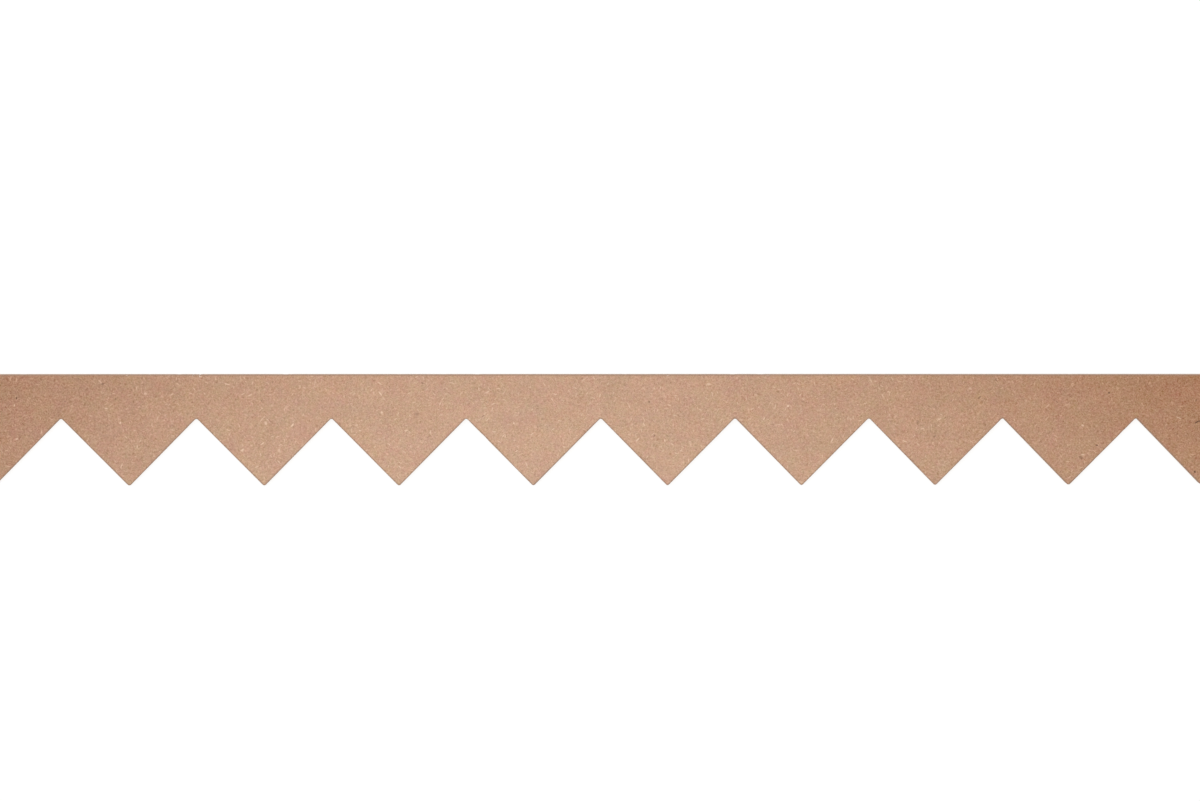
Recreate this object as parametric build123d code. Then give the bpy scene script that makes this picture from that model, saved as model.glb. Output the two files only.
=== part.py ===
from build123d import *
from math import atan2, sin
import os

# A flat moulding strip cut from fibreboard sheet: a plain band with a straight upper edge,
# and a zigzag lower edge of pointed teeth with a half tooth at each end, so that lengths
# laid end to end make one even row.
#
# The strip lies on its back. X runs along it, +Y points to the straight edge and the teeth
# point to -Y, and +Z comes out of the seen face. The origin is in the middle of the back:
# halfway along, and halfway between the straight edge and the tips of the teeth.
# All lengths are in millimetres.

# Driving dimensions
strip_length = 600.0  # from end to end, a whole number of teeth
strip_height = 55.0  # from the straight edge to the tips of the teeth
board_thickness = 6.0  # of the sheet that the strip is cut from
tooth_count = 9  # eight whole teeth and a half at each end
tooth_depth = 34.0  # from root to point as drawn, before either is rounded
point_radius = 1.0  # rounding of the teeth's points
root_radius = 1.0  # rounding of the roots between them, left by the cutter
arris_radius = 0.4  # sanding of the long edges of both faces

# Worked out from them
half_pitch = strip_length / tooth_count / 2
point_half_angle = atan2(half_pitch, tooth_depth)
point_loss = point_radius * (1 / sin(point_half_angle) - 1)  # what rounding takes off a point
straight_edge_y = strip_height / 2
point_y = -strip_height / 2 - point_loss
root_y = point_y + tooth_depth


def zigzag_line():
    """The lower edge of the blank, which turns at every root and point, each with its own rounding.

    It runs from the root before the strip's left end to the root after its right end.
    """
    corners = []
    radii = []
    for turn in range(-1, 2 * tooth_count + 2):
        is_point = turn % 2 == 0
        corners.append((-strip_length / 2 + turn * half_pitch, point_y if is_point else root_y))
        radii.append(point_radius if is_point else root_radius)
    return FilletPolyline(*corners, radius=radii[1:-1])


def blank_outline():
    """The face of the blank: the zigzag edge, closed by the straight edge and two plain ends."""
    zigzag = zigzag_line()
    left, right = zigzag @ 0, zigzag @ 1
    rest = Polyline(right, (right.X, straight_edge_y), (left.X, straight_edge_y), left)
    return make_face([*zigzag.edges(), *rest.edges()])


def ease_long_edges(blank):
    """Rounds every edge of both faces, apart from those at the ends that are sawn off."""
    face_edges = blank.faces().filter_by(Axis.Z).edges()
    end_edges = face_edges.filter_by(Axis.Y)
    return fillet(face_edges - end_edges, arris_radius)


def saw_to_length(blank):
    """Keeps what lies between the two end cuts, each through the middle of a tooth."""
    kept = Box(
        strip_length,
        2 * (strip_height + tooth_depth),
        board_thickness,
        align=(Align.CENTER, Align.CENTER, Align.MIN),
    )
    return blank & kept


def moulding_strip():
    """The finished strip: one solid."""
    blank = extrude(blank_outline(), board_thickness)
    return saw_to_length(ease_long_edges(blank))


os.makedirs("parts", exist_ok=True)
export_step(moulding_strip(), "parts/moulding_strip.step")
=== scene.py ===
from math import atan2, pi, radians, sin

import bpy
import numpy as np
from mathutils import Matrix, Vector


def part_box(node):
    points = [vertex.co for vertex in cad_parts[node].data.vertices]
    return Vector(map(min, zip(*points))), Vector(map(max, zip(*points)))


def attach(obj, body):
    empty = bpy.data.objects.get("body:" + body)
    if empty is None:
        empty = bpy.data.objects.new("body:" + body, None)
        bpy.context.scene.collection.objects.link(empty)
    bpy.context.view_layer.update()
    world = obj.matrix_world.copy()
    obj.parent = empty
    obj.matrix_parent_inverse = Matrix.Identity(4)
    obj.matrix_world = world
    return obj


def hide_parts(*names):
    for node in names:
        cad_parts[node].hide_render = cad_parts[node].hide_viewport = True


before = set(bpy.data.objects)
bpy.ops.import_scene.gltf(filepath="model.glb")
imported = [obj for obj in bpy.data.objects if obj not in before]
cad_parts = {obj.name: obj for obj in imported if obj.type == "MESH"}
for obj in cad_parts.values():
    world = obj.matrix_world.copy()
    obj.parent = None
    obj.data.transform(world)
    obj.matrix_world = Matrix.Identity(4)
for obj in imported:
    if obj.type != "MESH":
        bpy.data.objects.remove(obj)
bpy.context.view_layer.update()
strip_low, strip_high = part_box("moulding_strip")
strip_length, strip_height, board_thickness = (high - low for low, high in zip(strip_low, strip_high))

bl_info = {
    "name": "Zigzag moulding strip",
    "version": (1, 0, 0),
    "blender": (4, 5, 0),
    "location": "3D View > Sidebar > Moulding",
    "description": "Makes a raw fibreboard moulding strip with a zigzag edge, on a pale floor",
    "category": "Object",
}

MM = 0.001
FACE, CUT_EDGE, SAWN_END = range(3)  # the strip's materials, in the order of its slots
GRAIN_MAP = "grain"  # lies flat on each surface, in metres
BAKE_MAP = "OFBake"  # every surface once, side by side


# Settings that a user would change


def length(name, description, millimetres):
    """A length setting, given in millimetres and kept in metres."""
    return bpy.props.FloatProperty(
        name=name,
        description=description,
        default=millimetres * MM,
        min=0.0,
        precision=5,
        subtype="DISTANCE",
        unit="LENGTH",
    )


def position(name, description, metres):
    """A place in the scene, in metres."""
    return bpy.props.FloatVectorProperty(
        name=name,
        description=description,
        default=metres,
        subtype="TRANSLATION",
        unit="LENGTH",
    )


def share(name, description, default):
    """A part of something, from none to all of it."""
    return bpy.props.FloatProperty(
        name=name,
        description=description,
        default=default,
        min=0.0,
        max=1.0,
        subtype="FACTOR",
    )


def colour(name, description, default):
    """A linear red, green and blue, each from 0 to 1."""
    return bpy.props.FloatVectorProperty(
        name=name,
        description=description,
        default=default,
        min=0.0,
        max=1.0,
        subtype="COLOR",
    )


def number_of(name, description, default, fewest):
    """A whole number of things."""
    return bpy.props.IntProperty(name=name, description=description, default=default, min=fewest)


class StripShape(bpy.types.PropertyGroup):
    tooth_count: number_of("Teeth", "Teeth along the strip, the two half ones counted as one", 9, 1)
    tooth_depth: length("Tooth depth", "From root to point, before either is rounded", 34.0)
    point_radius: length("Point radius", "Rounding of a fresh point", 1.0)
    point_wear: length("Point wear", "How much more the points nearest the ends are rounded", 0.5)
    root_radius: length("Root radius", "Rounding that the cutter leaves in the roots", 1.0)
    arris_radius: length("Arris radius", "Sanding of the faces' long edges", 0.4)
    arris_unevenness: share("Arris unevenness", "How much the sanding comes and goes along an edge", 0.3)
    chip_depth: length("Chip depth", "The deepest chip knocked out of the straight edge", 0.75)
    dint_depth: length("Dint depth", "The deepest of the small dints along the edges", 0.28)
    dint_count: number_of("Dints", "Small dints along each edge", 26, 0)


class BoardFinish(bpy.types.PropertyGroup):
    palest_place: length("Palest place", "How far left of the middle the face is palest", 42.0)
    middle_tone: colour("Middle tone", "Colour of the face where it is palest", (0.556, 0.338, 0.223))
    # the end tones are mostly painted shade of the light falling off towards the ends, partly the board's
    # own drift of tone
    left_end_shaded_tone: colour("Left tone", "Colour of the face at the left end", (0.402, 0.210, 0.124))
    right_end_shaded_tone: colour("Right tone", "Colour of the face at the right end", (0.401, 0.194, 0.101))
    # painted light: the teeth paler towards their points
    painted_light_on_points: share("Paler points", "How much paler the teeth get towards their points", 0.17)
    grain_depth: colour("Grain depth", "How far fibres lighten or darken the face", (0.338, 0.251, 0.203))
    hue_drift: colour("Hue drift", "How far the face's hue drifts from place to place", (0.26, 0.38, 0.28))
    pale_fibre: colour("Pale fibre", "Colour of the bundles of bare fibre", (0.83, 0.58, 0.42))
    arris_tone: colour("Arris tone", "Colour that the arrises darken to", (0.30, 0.185, 0.13))
    fresh_break: colour("Fresh break", "Colour of the fibre bared in chips and dints", (0.84, 0.66, 0.54))
    dark_speck: colour("Dark speck", "Colour of the bits of bark", (0.13, 0.06, 0.03))
    core_tone: colour("Core tone", "Colour of the cut edge in the middle of the board", (0.60, 0.395, 0.275))
    skin_tone: colour("Skin tone", "Colour of the cut edge close to the faces", (0.43, 0.255, 0.165))
    fibre_width: length("Fibre width", "Width of a fibre", 0.49)
    face_roughness: share("Face roughness", "Roughness of the sanded face", 0.72)
    edge_roughness: share("Edge roughness", "Roughness of the cut edges", 0.9)


class StageSettings(bpy.types.PropertyGroup):
    camera_place: position("Camera place", "Where the camera stands", (-0.0603, 0.2124, 1.9776))
    camera_turn: bpy.props.FloatVectorProperty(
        name="Camera turn",
        description="How the camera is turned",
        default=(radians(-5.725), radians(-1.725), radians(0.152)),
        subtype="EULER",
        unit="ROTATION",
    )
    focal_length: bpy.props.FloatProperty(
        name="Focal length",
        description="Of the camera's lens, in millimetres",
        default=120.0,
        min=1.0,
        unit="CAMERA",
    )
    sky_level: share("Sky level", "Brightness of the light from all round", 0.62)
    lamp_power: bpy.props.FloatProperty(
        name="Lamp power",
        description="Power of the soft lamp overhead, in watts",
        default=24.5,
        min=0.0,
        unit="POWER",
    )
    lamp_place: position("Lamp place", "Where the soft lamp hangs", (-0.3, 0.5, 2.0))
    lamp_width: length("Lamp width", "Width of the soft lamp", 1200.0)
    floor_tone: share("Floor tone", "How much light the floor throws back", 0.8)
    floor_width: length("Floor width", "Width of the floor", 8000.0)


# The strip's shape

COLUMNS_ON_ARC = 4  # steps along the edge on half a point's or root's arc
COLUMNS_ON_FLANK = 50  # steps along the edge on a flank
CROWDING = 0.85  # of those steps under the chips: at 1 they would meet
HALF_ARRIS = np.linspace(0, pi / 4, 3)  # turns of the rows on half an arris, from the flat beside it
NEAR_EDGE = np.array([0.25, 0.6, 1.1, 1.9, 3.2]) * MM  # how far a face's nearest rows lie from an arris
STEPS_ACROSS_MIDDLE = 4  # steps on a face between the rows near its two edges
STEPS_THROUGH_BOARD = 5  # steps between the arrises of a cut edge
RIM_REACH = 0.45 * MM  # darkening on a face dies away over this distance from the zigzag edge
STRAIGHT_RIM = 0.75  # darkening on a face's side of the straight arrises, where the zigzag's have 1
SWELL = 5  # steps along an edge over which its sanding comes and goes
SANDING_SEED = 3
DINT_SEED = 11
DINT_POWER = 1.6  # of the distance along the edge in a dint, which at 2 would be a plain bell
BARING_DEPTH = 0.5 * MM  # a dint this deep shows fresh fibre alone

# the chips in the straight edge: place along it, part of the deepest chip's depth, and width
CHIPS = ((-198.3 * MM, 1.0, 0.28 * MM), (-201.5 * MM, 0.6, 0.26 * MM))
CHIP_REACH = 0.9 * MM  # how far a chip reaches into the face
CHIP_HEIGHTS = (1.0, 0.75, 0.5, 0.25, 0.0)  # of a chip's dints, as parts of the thickness

BAKE_GAP = 2.0 * MM  # left between the surfaces on the bake map
BAKE_LENGTHS = 3  # lengths that faces and straight edge are cut into there
HALVES_IN_ROW = 4  # half teeth of the zigzag edge in one row there

# How far each surface but the front is moved on the grain map, so that no two show the same grain: by whole
# metres, which a cut edge's material takes off its height again.
BACK_START = (1.0, 0.0)
ZIGZAG_START = (0.0, 2.0)
STRAIGHT_START = (0.0, 3.0)
END_STARTS = ((0.0, 4.0), (0.0, 5.0))


def smooth_noise(rng, count, width):
    """Noise along a line: random numbers averaged under a bell of the given width, brought back to a spread
    of one."""
    reach = np.arange(-3 * width, 3 * width + 1)
    bell = np.exp(-0.5 * (reach / width) ** 2)
    margin = len(bell)
    averaged = np.convolve(rng.normal(size=count + 2 * margin), bell, mode="same")[margin:-margin]
    return averaged / averaged.std()


def half_pitch_of(shape):
    """The distance along the strip from a point to the next root."""
    return strip_length / shape.tooth_count / 2


def zigzag_edge(shape):
    """The zigzag edge from left to right: places (n, 2), outward directions (n, 2) and distance run along
    the edge (n).

    A half tooth is an arc round its point, a straight flank and an arc round the root. The outward direction
    leans by an angle that grows from nothing at the point to the lean of the flank, and falls to nothing
    again at the root. On the point's arc the place is the centre plus the radius times that direction, and
    on the root's arc it is the centre minus it. Every second half tooth is the same one mirrored. The points
    are rounder towards the ends, by the square of their distance from the middle.
    """
    half_pitch = half_pitch_of(shape)
    half_angle = atan2(half_pitch, shape.tooth_depth)
    lean = pi / 2 - half_angle
    sharp_point_y = strip_low[1] - shape.point_radius * (1 / sin(half_angle) - 1)
    sharp_root_y = sharp_point_y + shape.tooth_depth

    half = np.arange(2 * shape.tooth_count)[:, None]
    side = np.where(half % 2 == 0, 1.0, -1.0)  # which way the root lies from the point
    point_x = strip_low[0] + 2 * half_pitch * ((half + 1) // 2)
    radius = shape.point_radius + shape.point_wear * (point_x / strip_high[0]) ** 2

    def for_each_half(values):
        return np.broadcast_to(values, (len(half), values.shape[1]))

    turn = np.linspace(0, lean, COLUMNS_ON_ARC + 1)[None, :]
    point_along = radius * np.sin(turn)
    point_y = sharp_point_y + radius / sin(half_angle) - radius * np.cos(turn)
    back = turn[:, ::-1]
    root_centre_y = sharp_root_y - shape.root_radius / sin(half_angle)
    root_along = for_each_half(half_pitch - shape.root_radius * np.sin(back))
    root_y = for_each_half(root_centre_y + shape.root_radius * np.cos(back))

    # a flank's steps are even, but on the flank under the chips a sine draws them together
    step = np.linspace(0, 1, COLUMNS_ON_FLANK + 1)[None, 1:-1]
    chip_step = side * (CHIPS[0][0] - point_x) / half_pitch
    crowding = np.where((chip_step > 0) & (chip_step < 1), CROWDING, 0.0)
    pull = np.sin(2 * pi * (step - chip_step)) + np.sin(2 * pi * chip_step)
    step = step - crowding / (2 * pi) * pull
    flank_along = point_along[:, -1:] + step * (root_along[:, :1] - point_along[:, -1:])
    flank_y = point_y[:, -1:] + step * (root_y[:, :1] - point_y[:, -1:])

    along = np.hstack([point_along, flank_along, root_along])
    y = np.hstack([point_y, flank_y, root_y])
    angle = for_each_half(np.hstack([turn, np.full((1, COLUMNS_ON_FLANK - 1), lean), back]))
    x = point_x + side * along
    out_x = side * np.sin(angle)
    out_y = -np.cos(angle)

    def in_order(values):
        values = np.where(side > 0, values, values[:, ::-1])
        return np.concatenate([values[0, :1], values[:, 1:].ravel()])

    place = np.stack([in_order(x), in_order(y)], axis=-1)
    outward = np.stack([in_order(out_x), in_order(out_y)], axis=-1)
    run = np.concatenate([[0.0], np.cumsum(np.linalg.norm(np.diff(place, axis=0), axis=1))])
    return place, outward, run


def uneven_arris(rng, shape, count):
    """The arris radius along an edge: its mean times one plus the unevenness times half of a smooth noise
    that is kept between -1 and 1."""
    uneven = 1 + shape.arris_unevenness * np.clip(smooth_noise(rng, count, SWELL) * 0.5, -1, 1)
    return shape.arris_radius * uneven


def arris(edge, turn, from_front):
    """Rows on a rounded arris: the edge moved inward by radius times (1 - sin turn) and in from the face by
    radius times (1 - cos turn), for a turn from 0 on the face to a quarter on the edge. An edge is its
    places, outward directions and arris radii."""
    place, outward, radius = edge
    turn = turn[:, None]
    inset = radius * (1 - np.sin(turn))
    depth = radius * (1 - np.cos(turn))
    xy = place[None] - inset[..., None] * outward[None]
    z = strip_high[2] - depth if from_front else strip_low[2] + depth
    return np.concatenate([xy, z[..., None]], axis=-1)


def face_rows(zigzag, straight, from_front):
    """A face from the zigzag edge to the straight one: half of one arris, then upright lines between the two
    edges, with rows that lie closer together near them, then half of the other arris. Its rim value is full
    on the zigzag's arris and dies away from it."""
    low = arris(zigzag, HALF_ARRIS[::-1], from_front)
    high = arris(straight, HALF_ARRIS, from_front)
    up = np.array([0.0, 1.0, 0.0])
    near = NEAR_EDGE[:, None, None]
    low_near = low[-1] + near * up
    high_near = (high[0] - near * up)[::-1]
    part = np.linspace(0, 1, STEPS_ACROSS_MIDDLE + 1)[1:-1, None, None]
    middle = low_near[-1] + part * (high_near[0] - low_near[-1])
    closeness = np.exp(-NEAR_EDGE / RIM_REACH)
    plain = np.zeros(len(middle) + len(high_near))
    rim = np.concatenate([np.ones(len(low)), closeness, plain, np.full(len(high), STRAIGHT_RIM)])
    return np.concatenate([low, low_near, middle, high_near, high]), rim


def edge_rows(edge):
    """A cut edge from front to back: half of one arris, straight lines through the board, then half of the
    other. Its rim value is full on both arrises."""
    front = arris(edge, pi / 2 - HALF_ARRIS[::-1], True)
    back = arris(edge, pi / 2 - HALF_ARRIS, False)
    part = np.linspace(0, 1, STEPS_THROUGH_BOARD + 1)[1:-1, None, None]
    through = front[-1] + part * (back[0] - front[-1])
    rim = np.concatenate([np.ones(len(front)), np.zeros(len(through)), np.ones(len(back))])
    return np.concatenate([front, through, back]), rim


def end_rows(face_front, face_back, edge_zigzag, edge_straight):
    """A sawn end spanned between the four lines round it: the two ruled blends between facing lines, less
    the blend of the four corners. Its steps follow the lines' own heights, so that no two of its rows
    cross."""
    u = (face_front[:, 1] - face_front[0, 1]) / (face_front[-1, 1] - face_front[0, 1])
    v = (edge_zigzag[:, 2] - edge_zigzag[0, 2]) / (edge_zigzag[-1, 2] - edge_zigzag[0, 2])
    u, v = u[:, None, None], v[None, :, None]
    across = (1 - v) * face_front[:, None] + v * face_back[:, None]
    along = (1 - u) * edge_zigzag[None] + u * edge_straight[None]
    corners = (
        (1 - u) * (1 - v) * face_front[0]
        + u * (1 - v) * face_front[-1]
        + (1 - u) * v * face_back[0]
        + u * v * face_back[-1]
    )
    return across + along - corners


def press_dints(places, dints):
    """Moves places inward at each dint, by its depth times a bell of the distance along the edge times
    another of the distance from the edge, and says how far each place is bared. A dint is its middle (3),
    inward direction (3), direction of the edge (2), depth, width along the edge and reach away from it."""
    bared = np.zeros(len(places))
    for dint in dints:
        middle, inward, edge_way = dint[:3], dint[3:6], dint[6:8]
        depth, width, reach = dint[8:]
        away = places - middle
        along = away[:, 0] * edge_way[0] + away[:, 1] * edge_way[1]
        rest = (away**2).sum(axis=1) - along**2
        bell = np.exp(-((np.abs(along) / width) ** DINT_POWER) - rest / reach**2)
        places = places + depth * bell[:, None] * inward
        bared = np.maximum(bared, bell * depth / BARING_DEPTH)
    return places, np.minimum(bared, 1.0)


def chip_dints(shape):
    """The chips in the straight edge, each a column of dints that has nine tenths of its depth at the front
    and gets shallower and narrower towards the back."""
    inward, edge_way = (0, -1, 0), (1, 0)
    rows = []
    for x, part, width in CHIPS:
        for up in CHIP_HEIGHTS:
            middle = (x, strip_high[1], strip_low[2] + up * board_thickness)
            depth = shape.chip_depth * part * (0.35 + 0.55 * up)
            rows.append([*middle, *inward, *edge_way, depth, width * (0.7 + 0.3 * up), CHIP_REACH])
    return np.array(rows)


def random_dints(shape, edges):
    """Small dints at random places on the front and back arrises of both edges, pressed inward and towards
    the middle of the board. Their depths are squared draws, so most are shallow."""
    rng = np.random.default_rng(DINT_SEED)
    clear_of_ends = 20
    slant = 0.8
    rows = []
    for place, outward, _ in edges:
        pick = rng.integers(clear_of_ends, len(place) - clear_of_ends, shape.dint_count)
        count = len(pick)
        front = rng.random(count) < 0.5
        z = np.where(front, strip_high[2], strip_low[2])
        inward = np.column_stack([-outward[pick], np.where(front, -slant, slant)])
        edge_way = np.column_stack([-outward[pick, 1], outward[pick, 0]])
        depth = shape.dint_depth * rng.uniform(0.25, 1.0, count) ** 2
        width = rng.uniform(0.5, 1.6, count) * MM
        reach = rng.uniform(0.6, 1.0, count) * MM
        rows.append(np.column_stack([place[pick], z, inward, edge_way, depth, width, reach]))
    return np.concatenate(rows)


class Surfaces:
    """Gathers gridded surfaces into one closed mesh, welded at the points that two of them share."""

    WELD_GRID = 0.001 * MM  # points that round to the same place on this grid are one
    SHARP_FROM = radians(40)  # a fold of more than this keeps a hard edge

    def __init__(self):
        self.places = []
        self.rims = []
        self.quads = []
        self.grain = []
        self.bake = []
        self.materials = []
        self.count = 0

    def add(self, rows, rim, material, grain, bake, shift, flip=False):
        """rows is a grid of places (rows, columns, 3), rim has a value for each row, and grain and bake are
        the grid's flat maps (rows, columns, 2). Where shift is a list with a step for each column, the
        surface is cut into lengths that are laid apart on the bake map."""
        height, width = rows.shape[:2]
        index = self.count + np.arange(height * width).reshape(height, width)
        corners = [index[:-1, :-1], index[:-1, 1:], index[1:, 1:], index[1:, :-1]]
        if flip:
            corners.reverse()
        quads = np.stack(corners, axis=-1)
        shift = np.broadcast_to(np.asarray(shift, dtype=float), (width - 1, 2))[None, :, None, :]
        flat = quads - self.count
        self.grain.append(grain.reshape(-1, 2)[flat].reshape(-1, 2))
        self.bake.append((bake.reshape(-1, 2)[flat] + shift).reshape(-1, 2))
        self.quads.append(quads.reshape(-1, 4))
        self.places.append(rows.reshape(-1, 3))
        self.rims.append(np.broadcast_to(rim[:, None], (height, width)).ravel())
        self.materials.append(np.full((height - 1) * (width - 1), material))
        self.count += height * width

    def mesh(self, name, dints):
        """The welded mesh, with the dints pressed in, its two maps and its values for the darker arrises and
        the bared fibre.
        """
        places = np.concatenate(self.places)
        on_grid = np.round(places / self.WELD_GRID).astype(np.int64)
        _, first, weld = np.unique(on_grid, axis=0, return_index=True, return_inverse=True)
        quads = weld.ravel()[np.concatenate(self.quads)]
        places, bared = press_dints(places[first], dints)
        mesh = bpy.data.meshes.new(name)
        mesh.from_pydata(places.tolist(), [], quads.tolist())
        mesh.polygons.foreach_set("material_index", np.concatenate(self.materials).astype(np.int32))
        bake = np.concatenate(self.bake)
        bake = bake / (bake.max(axis=0) + BAKE_GAP)
        for layer_name, values in ((GRAIN_MAP, np.concatenate(self.grain)), (BAKE_MAP, bake)):
            layer = mesh.uv_layers.new(name=layer_name)
            layer.data.foreach_set("uv", values.astype(np.float32).ravel())
        for attribute_name, values in (("rim", np.concatenate(self.rims)[first]), ("bared", bared)):
            attribute = mesh.attributes.new(attribute_name, "FLOAT", "POINT")
            attribute.data.foreach_set("value", values.astype(np.float32))
        mesh.shade_smooth()
        mesh.set_sharp_from_angle(angle=self.SHARP_FROM)
        mesh.update()
        return mesh


def strip_mesh(shape):
    """The whole strip: two faces, two cut edges and two sawn ends, each a grid that shares its outer lines
    with the next.

    On the bake map the faces lie in three lengths each, a back length upside down under each front length
    with its teeth in the other's notches. The cut edges lie in rows above them, with the sawn ends beside
    the zigzag edge's last row.
    """
    rng = np.random.default_rng(SANDING_SEED)
    place, outward, run = zigzag_edge(shape)
    count = len(place)
    zigzag = (place, outward, uneven_arris(rng, shape, count))
    column_x = place[:, 0] - zigzag[2] * outward[:, 0]
    straight_place = np.column_stack([column_x, np.full(count, strip_high[1])])
    straight = (straight_place, np.tile([0.0, 1.0], (count, 1)), uneven_arris(rng, shape, count))
    surfaces = Surfaces()

    step = np.arange(count - 1)
    steps_on_half = (count - 1) // (2 * shape.tooth_count)
    steps_on_length = steps_on_half * 2 * shape.tooth_count // BAKE_LENGTHS
    cut = np.minimum(step // steps_on_length, BAKE_LENGTHS - 1)  # which length each step falls in
    back_by = strip_length / BAKE_LENGTHS * cut
    pair_height = strip_height + (strip_height - shape.tooth_depth) + 3 * BAKE_GAP

    front, rim = face_rows(zigzag, straight, True)
    flat = front[..., :2] - strip_low[:2]
    shift = np.column_stack([-back_by, pair_height * cut + pair_height - strip_height]) + BAKE_GAP
    surfaces.add(front, rim, FACE, front[..., :2], flat, shift)

    back, rim = face_rows(zigzag, straight, False)
    flat = (back[..., :2] - strip_low[:2]) * (1, -1) + (half_pitch_of(shape), strip_height)
    shift = np.column_stack([-back_by, pair_height * cut]) + BAKE_GAP
    surfaces.add(back, rim, FACE, back[..., :2] + BACK_START, flat, shift, flip=True)

    row_height = board_thickness + BAKE_GAP
    first_row_y = BAKE_LENGTHS * pair_height + BAKE_GAP
    edge, rim = edge_rows(zigzag)
    flat = np.stack([np.broadcast_to(run, edge.shape[:2]), strip_high[2] - edge[..., 2]], axis=-1)
    steps_in_row = steps_on_half * HALVES_IN_ROW
    row = step // steps_in_row
    row_start = run[row * steps_in_row]
    shift = np.column_stack([BAKE_GAP - row_start, first_row_y + row * row_height])
    surfaces.add(edge, rim, CUT_EDGE, flat + ZIGZAG_START, flat, shift, flip=True)

    straight_edge, rim = edge_rows(straight)
    flat = np.stack([straight_edge[..., 0] - strip_low[0], strip_high[2] - straight_edge[..., 2]], axis=-1)
    shift = np.column_stack([BAKE_GAP - back_by, first_row_y + (row[-1] + 1 + cut) * row_height])
    surfaces.add(straight_edge, rim, CUT_EDGE, flat + STRAIGHT_START, flat, shift)

    last_row_end = BAKE_GAP + run[-1] - row_start[-1]
    last_row_y = first_row_y + row[-1] * row_height
    for end, column in enumerate((0, -1)):
        rows = end_rows(front[:, column], back[:, column], edge[:, column], straight_edge[:, column])
        # turned so that its rows run from front to back
        rows = rows.transpose(1, 0, 2)
        flat = np.stack([rows[..., 1] - strip_low[1], strip_high[2] - rows[..., 2]], axis=-1)
        shift = (last_row_end + BAKE_GAP + end * (strip_height + BAKE_GAP), last_row_y)
        rim = np.ones(len(rows))
        surfaces.add(rows, rim, SAWN_END, flat + END_STARTS[end], flat, shift, flip=column == -1)

    dints = np.concatenate([chip_dints(shape), random_dints(shape, (zigzag, straight))])
    return surfaces.mesh("raw_board_strip", dints)


# Building blocks of the materials


def set_or_link(tree, socket, value):
    """Feeds a socket from another node's output, or else sets it to a value."""
    if isinstance(value, bpy.types.NodeSocket):
        tree.links.new(value, socket)
    else:
        socket.default_value = value


def node(tree, kind, inputs=(), **settings):
    """A new node with its settings, and its inputs given by name or number as values or as other nodes'
    outputs."""
    made = tree.nodes.new(kind)
    for name, value in settings.items():
        setattr(made, name, value)
    for name, value in dict(inputs).items():
        set_or_link(tree, made.inputs[name], value)
    return made


def sums(tree, operation, *terms):
    """An operation on single values."""
    return node(tree, "ShaderNodeMath", enumerate(terms), operation=operation).outputs[0]


def vector_sums(tree, operation, *terms):
    """An operation on places or colours, one component at a time."""
    return node(tree, "ShaderNodeVectorMath", enumerate(terms), operation=operation).outputs[0]


def about_nothing(tree, value):
    """A value from 0 to 1 moved to lie about nothing."""
    return sums(tree, "SUBTRACT", value, 0.5)


def remap(tree, value, low, high, to_low=0.0, to_high=1.0, smooth=True):
    """A value brought from one range to another and kept within it, with eased ends where smooth."""
    terms = enumerate((value, low, high, to_low, to_high))
    easing = "SMOOTHSTEP" if smooth else "LINEAR"
    return node(tree, "ShaderNodeMapRange", terms, interpolation_type=easing).outputs[0]


def blend(tree, amount, first, second):
    """The first colour where the amount is nothing, the second where it is one."""
    inputs = {0: amount, 6: first, 7: second}
    return node(tree, "ShaderNodeMix", inputs, data_type="RGBA").outputs[2]


def tinted(tree, tone, tint, mask, strength):
    """The tone, tinted as far as the mask times the strength."""
    return blend(tree, sums(tree, "MULTIPLY", mask, strength), tone, tint)


def noises(tree, vector, scale, detail, roughness):
    """The outputs of a flat noise: a value and a colour, both from 0 to 1. The scale is in waves a metre."""
    inputs = {"Vector": vector, "Scale": scale, "Detail": detail, "Roughness": roughness}
    return node(tree, "ShaderNodeTexNoise", inputs, noise_dimensions="2D").outputs


def noise(tree, vector, scale, detail, roughness):
    """A flat noise about nothing, up to a half each way."""
    return about_nothing(tree, noises(tree, vector, scale, detail, roughness)[0])


def colour_noise(tree, vector, scale, detail, roughness):
    """Three flat noises about nothing, one for each component."""
    drift = noises(tree, vector, scale, detail, roughness)[1]
    return vector_sums(tree, "SUBTRACT", drift, (0.5, 0.5, 0.5))


def mapped(tree, vector, **changes):
    """A map turned or scaled."""
    return node(tree, "ShaderNodeMapping", {"Vector": vector, **changes}).outputs[0]


def mesh_value(tree, name):
    """One of the mesh's own values: its rim, where the arrises darken, or its bared fibre."""
    return node(tree, "ShaderNodeAttribute", attribute_name=name).outputs["Fac"]


def opaque(rgb):
    """A colour with its alpha."""
    return (*rgb, 1.0)


def new_group(name, inputs, outputs):
    """An empty node group with its sockets: its tree, what it is given and what it puts out."""
    tree = bpy.data.node_groups.new(name, "ShaderNodeTree")
    for way, sockets in (("INPUT", inputs), ("OUTPUT", outputs)):
        for socket_name, kind in sockets.items():
            tree.interface.new_socket(name=socket_name, in_out=way, socket_type="NodeSocket" + kind)
    return tree, tree.nodes.new("NodeGroupInput").outputs, tree.nodes.new("NodeGroupOutput").inputs


def place_group(tree, group, **inputs):
    """The outputs of a node group placed with its own values."""
    return node(tree, "ShaderNodeGroup", inputs, node_tree=group).outputs


def emptied(owner):
    """The node tree of a material or world, with nothing in it."""
    owner.use_nodes = True
    owner.node_tree.nodes.clear()
    return owner.node_tree


# Effects that more than one material uses


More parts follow.
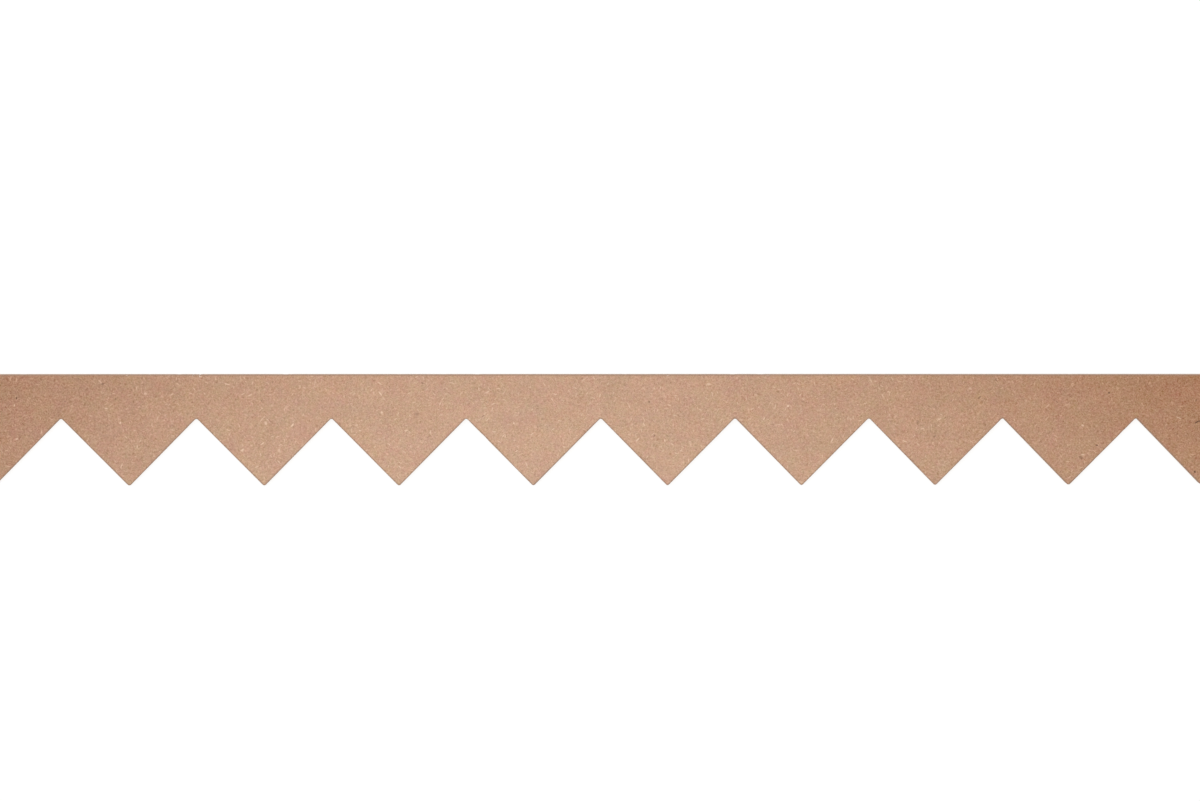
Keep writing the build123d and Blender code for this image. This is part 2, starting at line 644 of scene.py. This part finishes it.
def spindle_group():
    """A soft-ended, slightly bent spindle: the offset from its middle is turned and divided by its half
    length and half width, and the mask falls from one to nothing as the square of what is left rises from a
    quarter to one."""
    inputs = {"Offset": "Vector", "Turn": "Float", "Length": "Float", "Width": "Float"}
    tree, given, out = new_group("spindle", inputs, {"Mask": "Float"})
    inputs = {"Vector": given["Offset"], "Angle": given["Turn"]}
    turned = node(tree, "ShaderNodeVectorRotate", inputs, rotation_type="Z_AXIS").outputs[0]
    parts = node(tree, "ShaderNodeSeparateXYZ", {0: turned}).outputs
    along = sums(tree, "DIVIDE", parts[0], given["Length"])
    across = sums(tree, "DIVIDE", parts[1], given["Width"])
    along_squared = sums(tree, "MULTIPLY", along, along)
    bend = 0.25
    across = sums(tree, "ADD", across, sums(tree, "MULTIPLY", along_squared, bend))
    square = sums(tree, "ADD", along_squared, sums(tree, "MULTIPLY", across, across))
    tree.links.new(remap(tree, square, 1.0, 0.25), out["Mask"])
    return tree


def stray_fibres_group(spindle):
    """Scattered bundles of fibre: one spindle round the middle of each cell, turned, sized by a half to one
    and a half and faded down to a quarter at random, in a share of the cells that comes and goes."""
    inputs = {"Map": "Vector", "Cell": "Float", "Share": "Float", "Length": "Float", "Width": "Float"}
    tree, given, out = new_group("stray_fibres", inputs, {"Mask": "Float"})
    inputs = {"Vector": given["Map"], "Scale": sums(tree, "DIVIDE", 1.0, given["Cell"])}
    cells = node(tree, "ShaderNodeTexVoronoi", inputs, voronoi_dimensions="2D").outputs
    for_turn, for_choice, for_size = node(tree, "ShaderNodeSeparateColor", {0: cells["Color"]}).outputs
    size = sums(tree, "ADD", 0.5, for_size)
    bundle = place_group(
        tree,
        spindle,
        Offset=vector_sums(tree, "SUBTRACT", given["Map"], cells["Position"]),
        Turn=sums(tree, "MULTIPLY", for_turn, 2 * pi),
        Length=sums(tree, "MULTIPLY", given["Length"], size),
        Width=sums(tree, "MULTIPLY", given["Width"], size),
    )
    clumps_a_metre = 90.0
    clump = noises(tree, cells["Position"], clumps_a_metre, 1.0, 0.5)[0]
    crowd = remap(tree, clump, 0.3, 0.7, 0.2, 1.8, smooth=False)
    chosen = sums(tree, "LESS_THAN", for_choice, sums(tree, "MULTIPLY", given["Share"], crowd))
    # a fourth random number, from the further digits of the first
    for_strength = sums(tree, "FRACT", sums(tree, "MULTIPLY", for_turn, 7.0))
    strength = remap(tree, for_strength, 0.0, 1.0, 0.25, 1.0, smooth=False)
    strength = sums(tree, "MULTIPLY", chosen, strength)
    tree.links.new(sums(tree, "MULTIPLY", bundle["Mask"], strength), out["Mask"])
    return tree


def wander_group():
    """A map moved by a noise of the given size, up to half the given reach each way."""
    inputs = {"Map": "Vector", "Size": "Float", "Reach": "Float"}
    tree, given, out = new_group("wander", inputs, {"Map": "Vector"})
    drift = colour_noise(tree, given["Map"], sums(tree, "DIVIDE", 1.0, given["Size"]), 1.0, 0.5)
    inputs = {0: drift, "Scale": given["Reach"]}
    scaled = node(tree, "ShaderNodeVectorMath", inputs, operation="SCALE").outputs[0]
    tree.links.new(vector_sums(tree, "ADD", given["Map"], scaled), out["Map"])
    return tree


# the three ways that the matted fibres run: turn, and how many times their width they are drawn out
FIBRE_WAYS = ((0.3, 2.8), (1.35, 2.5), (2.4, 3.0))


def fibre_mat_group(wander):
    """The matted fibres of the board: noise drawn out along three directions that wander, added up about
    nothing with a part of a coarser mottle, and the fine part again as relief about a half."""
    outputs = {"Grain": "Float", "Relief": "Float"}
    tree, given, out = new_group("fibre_mat", {"Map": "Vector", "Width": "Float"}, outputs)
    scale = sums(tree, "DIVIDE", 1.0, given["Width"])
    reach = sums(tree, "MULTIPLY", given["Width"], 4.0)
    wavy = place_group(tree, wander, Map=given["Map"], Size=reach, Reach=reach)["Map"]
    total = None
    for turn, stretch in FIBRE_WAYS:
        inputs = {"Vector": wavy, "Rotation": (0, 0, turn), "Scale": (stretch, 1, 1)}
        drawn_out = node(tree, "ShaderNodeMapping", inputs, vector_type="TEXTURE").outputs[0]
        layer = noises(tree, drawn_out, scale, 2.0, 0.7)[0]
        total = layer if total is None else sums(tree, "ADD", total, layer)
    fine = sums(tree, "SUBTRACT", total, len(FIBRE_WAYS) / 2)
    coarser, part_of_mottle = 0.04, 0.22
    mottle = noise(tree, given["Map"], sums(tree, "MULTIPLY", scale, coarser), 4.0, 0.6)
    tree.links.new(sums(tree, "MULTIPLY_ADD", mottle, part_of_mottle, fine), out["Grain"])
    tree.links.new(sums(tree, "ADD", fine, 0.5), out["Relief"])
    return tree


def hue_drift_group():
    """Slow changes of hue: one plus a noise of its own for red, green and blue, times the depth, to multiply
    the tone by."""
    inputs = {"Map": "Vector", "Depth": "Vector"}
    tree, given, out = new_group("hue_drift", inputs, {"Factor": "Vector"})
    waves_a_metre = 70.0
    drift = colour_noise(tree, given["Map"], waves_a_metre, 5.0, 1.0)
    tree.links.new(vector_sums(tree, "MULTIPLY_ADD", drift, given["Depth"], (1.0, 1.0, 1.0)), out["Factor"])
    return tree


def darker_rim_group():
    """Darker arrises: the closeness to an arris, broken up by noise."""
    tree, given, out = new_group("worn_rim", {"Map": "Vector", "Breakup": "Float"}, {"Mask": "Float"})
    waves_a_metre = 700.0
    breaks = noise(tree, given["Map"], waves_a_metre, 3.0, 0.6)
    broken = sums(tree, "ADD", mesh_value(tree, "rim"), sums(tree, "MULTIPLY", breaks, given["Breakup"]))
    tree.links.new(remap(tree, broken, 0.15, 0.95), out["Mask"])
    return tree


# The materials


def board_material(name):
    """An empty board: the material, its tree, the shader's inputs and the grain map."""
    material = bpy.data.materials.new(name)
    tree = emptied(material)
    shader = tree.nodes.new("ShaderNodeBsdfPrincipled")
    node(tree, "ShaderNodeOutputMaterial", {"Surface": shader.outputs[0]})
    flat_map = node(tree, "ShaderNodeUVMap", uv_map=GRAIN_MAP).outputs[0]
    return material, tree, shader.inputs, flat_map


def with_fresh_breaks(tree, finish, flat_map, tone):
    """The tone with fresh fibre where a chip or dint has bared it: its depth, broken up by noise."""
    depth = mesh_value(tree, "bared")
    waves_a_metre = 3000.0
    ragged = sums(tree, "MULTIPLY_ADD", noise(tree, flat_map, waves_a_metre, 2.0, 0.6), 1.2, depth)
    fresh = sums(tree, "MULTIPLY", remap(tree, ragged, 0.3, 0.7), remap(tree, depth, 0.05, 0.3))
    return blend(tree, fresh, tone, opaque(finish.fresh_break))


def tone_and_painted_light(tree, finish):
    """The face's colour with painted light and shade in it. It darkens to both ends with the square of the
    distance from its palest place, mostly as painted shade of the light falling off towards the ends and
    partly as the board's own drift of tone, and pales a little from the straight edge to the points, as
    painted light."""
    place = node(tree, "ShaderNodeTexCoord").outputs["Object"]
    x, y, _ = node(tree, "ShaderNodeSeparateXYZ", {0: place}).outputs
    tone = opaque(finish.middle_tone)
    # painted shade: darker towards both ends
    for end_x, end_tone in ((strip_low[0], finish.left_end_shaded_tone), (strip_high[0], finish.right_end_shaded_tone)):
        away = remap(tree, x, -finish.palest_place, end_x, smooth=False)
        tone = tinted(tree, tone, opaque(end_tone), away, away)
    # painted light: paler towards the points
    towards_points = remap(tree, y, strip_high[1], strip_low[1], smooth=False)
    return tinted(tree, tone, opaque(finish.pale_fibre), towards_points, finish.painted_light_on_points)


# kinds of stray fibre on the face: size of the cells that hold one each, share of them, half length and half
# width, in millimetres but for the share, then shift of the map in metres, strength and colour
STRAY_FIBRES = (
    (1.3, 0.45, 0.36, 0.15, 0.00, 0.44, "pale_fibre"),
    (2.6, 0.38, 0.85, 0.18, 0.23, 0.88, "pale_fibre"),
    (6.0, 0.27, 1.15, 0.28, 0.41, 0.95, "pale_fibre"),
    (2.2, 0.42, 0.36, 0.20, 0.57, 0.28, "dark_speck"),
    (9.0, 0.20, 0.60, 0.28, 0.71, 0.60, "dark_speck"),
)

# marks that show singly, by colour: x, y, turn, half length, half width and strength, lengths in millimetres
MARKS = {
    "pale_fibre": (
        (-289.5, 12.5, 1.6, 0.7, 0.35, 0.8),
        (-288.5, -4.2, 2.7, 0.9, 0.55, 0.6),
        (-244.4, 10.9, 0.0, 1.0, 0.3, 0.75),
        (-237.5, 3.8, 1.9, 0.8, 0.4, 0.9),
        (-225.0, 18.2, 0.1, 1.1, 0.8, 0.45),
        (-197.6, 26.7, 0.6, 0.5, 0.4, 0.9),
        (-177.4, -9.7, 2.5, 1.2, 0.5, 0.85),
        (-165.7, 3.6, 1.2, 1.2, 0.8, 0.7),
        (-159.1, -10.1, 1.0, 1.4, 0.7, 0.55),
        (-152.6, 2.6, 2.2, 1.3, 0.5, 1.0),
        (-108.4, 8.9, 1.6, 0.8, 0.6, 0.9),
        (-96.5, -0.2, 3.0, 1.0, 0.5, 0.8),
        (-56.2, 19.0, 2.6, 1.5, 0.5, 0.65),
        (-43.1, 3.5, 0.7, 0.6, 0.5, 1.0),
        (53.5, 23.0, 0.1, 1.2, 0.8, 0.54),
        (93.0, 12.0, 2.1, 0.7, 0.65, 1.0),
        (115.0, -5.1, 2.0, 1.4, 0.5, 0.7),
        (183.6, 20.7, 3.0, 1.0, 0.6, 0.45),
        (240.0, 2.3, 0.4, 0.9, 0.6, 0.65),
        (240.3, -12.4, 0.1, 1.0, 0.5, 0.7),
        (288.0, 6.0, 0.4, 1.8, 0.35, 0.5),
    ),
    "dark_speck": (
        (-288.4, 16.1, 1.6, 0.6, 0.4, 1.0),
        (-246.0, 23.1, 2.8, 1.1, 0.7, 0.45),
        (-91.1, 8.0, 2.9, 1.5, 1.0, 0.3),
        (157.6, 4.0, 1.8, 1.3, 0.6, 0.35),
        (188.3, 16.2, 2.4, 1.2, 0.55, 0.45),
        (239.4, -13.8, 0.6, 1.5, 0.8, 0.4),
        (247.2, -7.7, 0.1, 0.9, 0.4, 0.8),
        (252.9, 18.5, 2.7, 0.6, 0.6, 0.8),
        (296.5, -21.0, 0.8, 0.75, 0.65, 0.9),
        (297.0, 3.9, -0.55, 1.4, 0.4, 1.0),
        (298.4, 4.4, -0.05, 1.2, 0.42, 0.85),
    ),
}


def with_stray_fibres(tree, finish, groups, flat_map, painted_light_tone, tone):
    """The tone with each kind of stray fibre over it, shaded as the tone with its painted end shade and
    point light is where it lies.
    """
    ragged = place_group(tree, groups["wander"], Map=flat_map, Size=0.3 * MM, Reach=0.45 * MM)["Map"]
    shade = vector_sums(tree, "DIVIDE", painted_light_tone, tuple(finish.middle_tone))
    for cell, share_of_cells, half_length, half_width, shift, strength, kind in STRAY_FIBRES:
        stray = place_group(
            tree,
            groups["stray_fibres"],
            Map=vector_sums(tree, "ADD", ragged, (shift, shift / 2, 0.0)),
            Cell=cell * MM,
            Share=share_of_cells,
            Length=half_length * MM,
            Width=half_width * MM,
        )
        shaded = vector_sums(tree, "MULTIPLY", shade, tuple(getattr(finish, kind)))
        tone = tinted(tree, tone, shaded, stray["Mask"], strength)
    return tone


def with_marks(tree, finish, groups, flat_map, tone):
    """The tone with the single marks over it."""
    frayed = place_group(tree, groups["wander"], Map=flat_map, Size=0.22 * MM, Reach=0.3 * MM)["Map"]
    for kind, marks in MARKS.items():
        for x, y, turn, half_length, half_width, strength in marks:
            mark = place_group(
                tree,
                groups["spindle"],
                Offset=vector_sums(tree, "SUBTRACT", frayed, (x * MM, y * MM, 0.0)),
                Turn=turn,
                Length=half_length * MM,
                Width=half_width * MM,
            )
            tone = tinted(tree, tone, opaque(getattr(finish, kind)), mark["Mask"], strength)
    return tone


def face_material(finish, groups):
    """The sanded face: a drifting brown, darkened towards both ends by painted shade and paled towards the
    points by painted light, with matted fibres, pale bundles and dark specks, a little darker on the
    arrises."""
    material, tree, shader, flat_map = board_material("sanded_board_face")
    fibres = place_group(tree, groups["fibre_mat"], Map=flat_map, Width=finish.fibre_width)
    drift = place_group(tree, groups["hue_drift"], Map=flat_map, Depth=tuple(finish.hue_drift))
    painted_light_tone = tone_and_painted_light(tree, finish)
    tone = vector_sums(tree, "MULTIPLY", painted_light_tone, drift["Factor"])
    tone = vector_sums(tree, "MULTIPLY_ADD", tuple(finish.grain_depth), fibres["Grain"], tone)
    tone = with_stray_fibres(tree, finish, groups, flat_map, painted_light_tone, tone)
    tone = with_marks(tree, finish, groups, flat_map, tone)
    arris_darkening = place_group(tree, groups["worn_rim"], Map=flat_map, Breakup=0.9)
    most_darkening = 0.5
    tone = tinted(tree, tone, opaque(finish.arris_tone), arris_darkening["Mask"], most_darkening)
    tree.links.new(with_fresh_breaks(tree, finish, flat_map, tone), shader["Base Color"])
    rougher_on_pale = 0.15
    rough = sums(tree, "MULTIPLY_ADD", fibres["Grain"], rougher_on_pale, finish.face_roughness)
    tree.links.new(rough, shader["Roughness"])
    shader["Specular IOR Level"].default_value = 0.3
    bump = {"Height": fibres["Relief"], "Strength": 0.5, "Distance": 0.06 * MM}
    tree.links.new(node(tree, "ShaderNodeBump", bump).outputs[0], shader["Normal"])
    return material


def tool_marks(tree, flat_map, spacing, slant):
    """Bands across the board, the spacing apart and bent by noise. At a scale of one they would lie a
    twentieth of a full turn apart."""
    bands = {
        "Vector": mapped(tree, flat_map, Rotation=(0, 0, slant)),
        "Scale": 2 * pi / 20 / spacing,
        "Distortion": 1.2,
        "Detail": 2.0,
        "Detail Scale": 2.0,
    }
    return node(tree, "ShaderNodeTexWave", bands).outputs["Fac"]


def cut_material(name, finish, groups, mark_spacing, mark_slant, mark_depth):
    """A cut edge: a fuzzy core between darker, denser skins, laid fibres that run along the board, and the
    tool's marks."""
    material, tree, shader, flat_map = board_material(name)
    height = sums(tree, "FRACT", node(tree, "ShaderNodeSeparateXYZ", {0: flat_map}).outputs[1])
    part = sums(tree, "DIVIDE", height, board_thickness)
    from_middle = sums(tree, "ABSOLUTE", about_nothing(tree, part))
    waves_a_metre = 3600.0
    layers = noises(tree, mapped(tree, flat_map, Scale=(0.12, 1, 1)), waves_a_metre, 3.0, 0.6)[0]
    uneven = sums(tree, "MULTIPLY_ADD", about_nothing(tree, layers), 0.3, from_middle)
    skin_begins, skin_is_full = 0.28, 0.48  # of the thickness, from the middle
    skin = remap(tree, uneven, skin_begins, skin_is_full)
    tone = blend(tree, skin, opaque(finish.core_tone), opaque(finish.skin_tone))

    finer = 0.55 * finish.fibre_width
    drawn_out = mapped(tree, flat_map, Scale=(0.55, 1, 1))
    fibres = place_group(tree, groups["fibre_mat"], Map=drawn_out, Width=finer)
    tone = vector_sums(tree, "MULTIPLY_ADD", tuple(finish.grain_depth), fibres["Grain"], tone)
    pale_layers = remap(tree, layers, 0.55, 0.8, 0.0, 0.35)
    tone = blend(tree, pale_layers, tone, opaque(finish.pale_fibre))
    sizes = {"Cell": 1.8 * MM, "Share": 0.45, "Length": 0.5 * MM, "Width": 0.16 * MM}
    stray = place_group(tree, groups["stray_fibres"], Map=flat_map, **sizes)
    tone = tinted(tree, tone, opaque(finish.pale_fibre), stray["Mask"], 0.5)

    marks = tool_marks(tree, flat_map, mark_spacing, mark_slant)
    tone = tinted(tree, tone, opaque(finish.skin_tone), marks, mark_depth)
    tree.links.new(with_fresh_breaks(tree, finish, flat_map, tone), shader["Base Color"])
    smoother_skin = -0.12
    rough = sums(tree, "MULTIPLY_ADD", skin, smoother_skin, finish.edge_roughness)
    tree.links.new(rough, shader["Roughness"])
    shader["Specular IOR Level"].default_value = 0.2
    shader["Sheen Weight"].default_value = 0.12
    shader["Sheen Roughness"].default_value = 0.6
    laid_relief = sums(tree, "ADD", fibres["Relief"], sums(tree, "MULTIPLY", layers, 0.8))
    relief = sums(tree, "MULTIPLY_ADD", marks, 0.5, laid_relief)
    bump = {"Height": relief, "Strength": 0.7, "Distance": 0.08 * MM}
    tree.links.new(node(tree, "ShaderNodeBump", bump).outputs[0], shader["Normal"])
    return material


def seen_directly(tree):
    """One for rays that show a thing to the eye: from the camera, in a reflection or through glass."""
    path = node(tree, "ShaderNodeLightPath").outputs
    mirrored = sums(tree, "MAXIMUM", path["Is Glossy Ray"], path["Is Transmission Ray"])
    return sums(tree, "MAXIMUM", path["Is Camera Ray"], mirrored)


def floor_material(stage):
    """A pale matt floor that lights the strip as plain board would, and is shown nearly white with the
    strip's soft shadow: a glow, and a dim matt part that the shadow darkens."""
    glow = (0.86, 0.85, 0.83)
    shadowed_part = (0.19, 0.2, 0.22)
    material = bpy.data.materials.new("pale_floor")
    tree = emptied(material)
    matt = node(tree, "ShaderNodeBsdfDiffuse", {"Color": opaque([stage.floor_tone] * 3)}).outputs[0]
    shadow = node(tree, "ShaderNodeBsdfDiffuse", {"Color": opaque(shadowed_part)}).outputs[0]
    white = node(tree, "ShaderNodeEmission", {"Color": opaque(glow)}).outputs[0]
    shown = node(tree, "ShaderNodeAddShader", {0: shadow, 1: white}).outputs[0]
    mixed = node(tree, "ShaderNodeMixShader", {0: seen_directly(tree), 1: matt, 2: shown}).outputs[0]
    node(tree, "ShaderNodeOutputMaterial", {"Surface": mixed})
    return material


# Operators


def put_in_scene(context, name, data):
    """A new object in the scene."""
    made = bpy.data.objects.new(name, data)
    context.scene.collection.objects.link(made)
    return made


class MOULDING_OT_strip(bpy.types.Operator):
    """Make the zigzag strip with its sanded face and cut edges"""

    bl_idname = "moulding.strip"
    bl_label = "Make the strip"
    bl_options = {"REGISTER", "UNDO"}

    def execute(self, context):
        shape, finish = context.scene.strip_shape, context.scene.board_finish
        spindle, wander = spindle_group(), wander_group()
        groups = {
            "spindle": spindle,
            "wander": wander,
            "stray_fibres": stray_fibres_group(spindle),
            "fibre_mat": fibre_mat_group(wander),
            "hue_drift": hue_drift_group(),
            "worn_rim": darker_rim_group(),
        }
        routed = {"mark_spacing": 0.9 * MM, "mark_slant": 0.0, "mark_depth": 0.1}
        sawn = {"mark_spacing": 0.6 * MM, "mark_slant": 0.35, "mark_depth": 0.22}
        mesh = strip_mesh(shape)
        mesh.materials.append(face_material(finish, groups))
        mesh.materials.append(cut_material("routed_board_edge", finish, groups, **routed))
        mesh.materials.append(cut_material("sawn_board_end", finish, groups, **sawn))
        strip = put_in_scene(context, "raw_board_strip", mesh)
        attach(strip, "root")
        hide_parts("moulding_strip")
        return {"FINISHED"}


class MOULDING_OT_stage(bpy.types.Operator):
    """Make the pale floor, the soft light and the camera that looks down on the strip"""

    bl_idname = "moulding.stage"
    bl_label = "Make the stage"
    bl_options = {"REGISTER", "UNDO"}

    def execute(self, context):
        scene = context.scene
        stage = scene.stage_settings
        self.make_floor(context, stage)
        self.make_sky(scene, stage)
        self.make_lamp(context, stage)
        scene.camera = self.make_camera(context, stage)
        scene.view_settings.view_transform = "Standard"
        return {"FINISHED"}

    def make_floor(self, context, stage):
        half = stage.floor_width / 2
        corners = [(-half, -half, 0), (half, -half, 0), (half, half, 0), (-half, half, 0)]
        mesh = bpy.data.meshes.new("floor")
        mesh.from_pydata(corners, [], [(0, 1, 2, 3)])
        mesh.materials.append(floor_material(stage))
        floor = put_in_scene(context, "floor", mesh)

    def make_sky(self, scene, stage):
        """Light from all round at the level that is set, seen directly as plain white."""
        scene.world = bpy.data.worlds.new("soft_sky")
        tree = emptied(scene.world)
        level = remap(tree, seen_directly(tree), 0.0, 1.0, stage.sky_level, 1.0, smooth=False)
        sky = node(tree, "ShaderNodeBackground", {"Strength": level}).outputs[0]
        node(tree, "ShaderNodeOutputWorld", {"Surface": sky})

    def make_lamp(self, context, stage):
        lamp = bpy.data.lights.new("soft_lamp", "AREA")
        lamp.shape = "SQUARE"
        lamp.size = stage.lamp_width
        lamp.energy = stage.lamp_power
        hung = put_in_scene(context, "soft_lamp", lamp)
        hung.location = stage.lamp_place
        hung.visible_camera = False

    def make_camera(self, context, stage):
        lens = bpy.data.cameras.new("camera")
        lens.lens = stage.focal_length
        lens.clip_start = 0.01
        camera = put_in_scene(context, "camera", lens)
        camera.location = stage.camera_place
        camera.rotation_euler = stage.camera_turn
        return camera


class MOULDING_PT_panel(bpy.types.Panel):
    """The strip's and the stage's settings and the buttons that make them"""

    bl_idname = "MOULDING_PT_panel"
    bl_label = "Zigzag moulding"
    bl_space_type = "VIEW_3D"
    bl_region_type = "UI"
    bl_category = "Moulding"

    def draw(self, context):
        for settings, operator in (
            ((context.scene.strip_shape, context.scene.board_finish), "moulding.strip"),
            ((context.scene.stage_settings,), "moulding.stage"),
        ):
            box = self.layout.box()
            for group in settings:
                for name in group.__annotations__:
                    box.prop(group, name)
            box.operator(operator)


CLASSES = (StripShape, BoardFinish, StageSettings, MOULDING_OT_strip, MOULDING_OT_stage, MOULDING_PT_panel)
SETTINGS = {"strip_shape": StripShape, "board_finish": BoardFinish, "stage_settings": StageSettings}


def register():
    for made in CLASSES:
        bpy.utils.register_class(made)
    for name, group in SETTINGS.items():
        setattr(bpy.types.Scene, name, bpy.props.PointerProperty(type=group))


def unregister():
    for name in SETTINGS:
        delattr(bpy.types.Scene, name)
    for made in reversed(CLASSES):
        bpy.utils.unregister_class(made)


def main():
    register()
    bpy.ops.moulding.strip()
    bpy.ops.moulding.stage()


if __name__ == "__main__":
    main()
